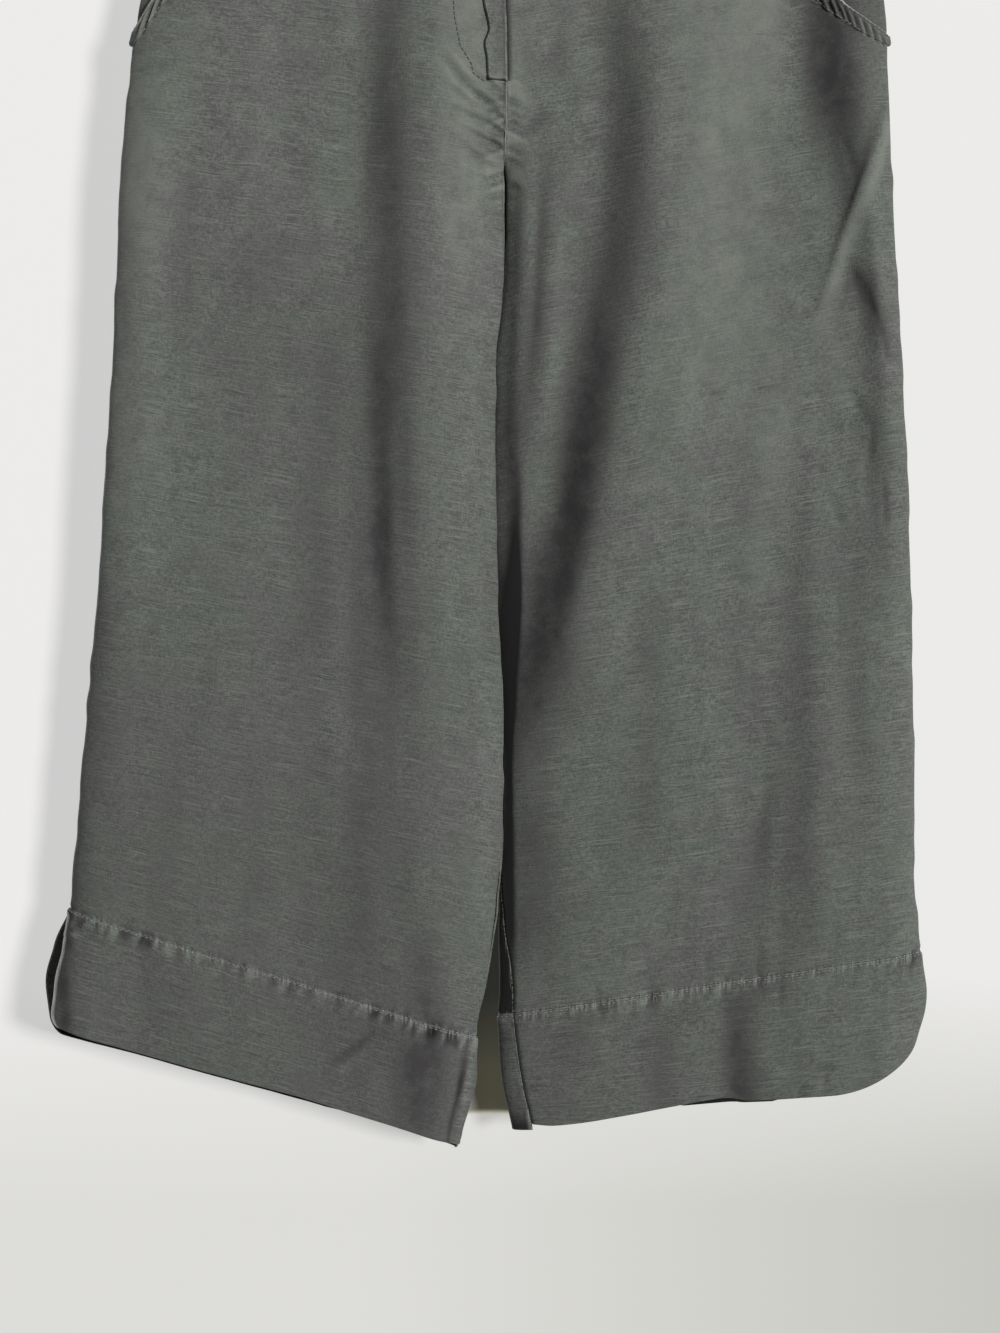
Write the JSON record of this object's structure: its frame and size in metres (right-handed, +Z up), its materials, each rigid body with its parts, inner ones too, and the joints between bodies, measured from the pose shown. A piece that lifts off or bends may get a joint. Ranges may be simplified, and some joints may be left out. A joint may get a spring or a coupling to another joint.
{
  "type": "culottes",
  "caption": "Wide-leg linen culottes hanging by the waist, with a fly front, curved slant pockets, an open waist and deep hem bands with side slits.",
  "frame": {"origin": "middle of the waistband's top edge, where the culottes are held", "axes": "+Z up, the front faces -Y, +X to the right as seen from the front"},
  "size_m": [0.5904, 0.059, 0.9281],
  "materials": {
    "linen": "matt grey-green linen weave with slubs",
    "hem_linen": "matt grey-green linen weave, doubled and stitched",
    "button": "satin"
  },
  "bodies": {
    "root": {"front_left": "linen", "front_right": "linen", "back_left": "linen", "back_right": "linen", "hem_front_left": "hem_linen", "hem_back_left": "hem_linen", "hem_front_right": "hem_linen", "hem_back_right": "hem_linen", "hip_left": "linen", "hip_right": "linen", "pocket_edge_left": "hem_linen", "pocket_edge_right": "hem_linen", "fly_band": "hem_linen", "fly_guard": "linen", "waistband": "hem_linen", "waist_button": "button"}
  },
  "joints": []
}
